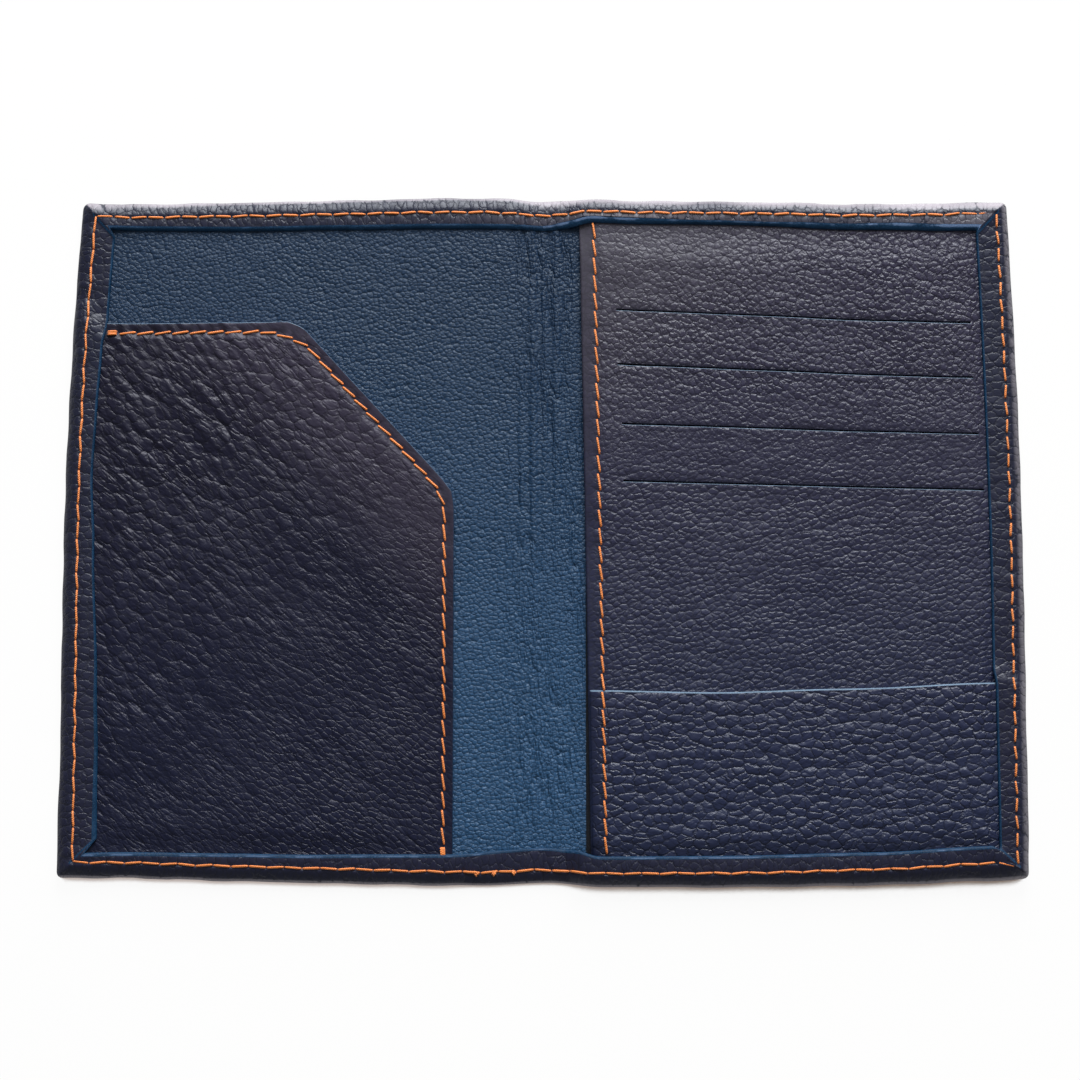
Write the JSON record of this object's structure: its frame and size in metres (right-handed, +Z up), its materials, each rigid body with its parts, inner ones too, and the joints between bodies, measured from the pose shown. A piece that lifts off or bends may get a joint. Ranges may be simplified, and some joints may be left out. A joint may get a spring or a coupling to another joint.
{
  "type": "passport holder",
  "caption": "Folding leather passport holder with turned and stitched edges, a cut-corner passport pocket, a slit card panel and a slip pocket.",
  "frame": {"origin": "on the rest plane under the middle of the fold, halfway between top and bottom edge", "axes": "+X across the open holder towards the card panel, +Y along the fold towards the top edge, +Z up out of the inside"},
  "size_m": [0.232, 0.168, 0.0053],
  "materials": {
    "cover_leather": "navy pebbled leather, semi-matte",
    "lining_leather": "blue fine-grained leather, semi-matte",
    "pocket_leather": "navy coarse pebbled leather, semi-matte",
    "panel_leather": "navy pebbled leather, semi-matte",
    "interlining": "off-white non-woven sheet",
    "pocket_textile": "dark plain-weave textile",
    "thread": "orange twisted sewing thread"
  },
  "bodies": {
    "left_half": {"cover_left": "cover_leather", "interlining_left": "interlining", "lining_left": "lining_leather", "passport_pocket_lining": "pocket_textile", "passport_pocket": "pocket_leather", "passport_pocket_stitching": "thread", "perimeter_stitching_left": "thread"},
    "spine": {"cover_spine": "cover_leather", "interlining_spine": "interlining", "lining_spine": "lining_leather", "perimeter_stitching_spine": "thread"},
    "right_half": {"cover_right": "cover_leather", "interlining_right": "interlining", "lining_right": "lining_leather", "card_panel_backing": "pocket_textile", "card_pocket_1": "pocket_textile", "card_pocket_2": "pocket_textile", "card_pocket_3": "pocket_textile", "card_pocket_4": "pocket_textile", "card_panel": "panel_leather", "slip_pocket": "panel_leather", "card_panel_stitching": "thread", "perimeter_stitching_right": "thread"}
  },
  "joints": [
    {"name": "left_crease", "type": "hinge", "parent": "spine", "child": "left_half", "pos_m": [-0.00213, 0, 0.00313], "axis": [0, 1, 0], "range_deg": [0, 90]},
    {"name": "right_crease", "type": "hinge", "parent": "spine", "child": "right_half", "pos_m": [0.00213, 0, 0.00313], "axis": [0, -1, 0], "range_deg": [0, 90]}
  ],
  "couplings": [
    {"joint": "left_crease", "follows": "right_crease", "ratio": 1}
  ]
}
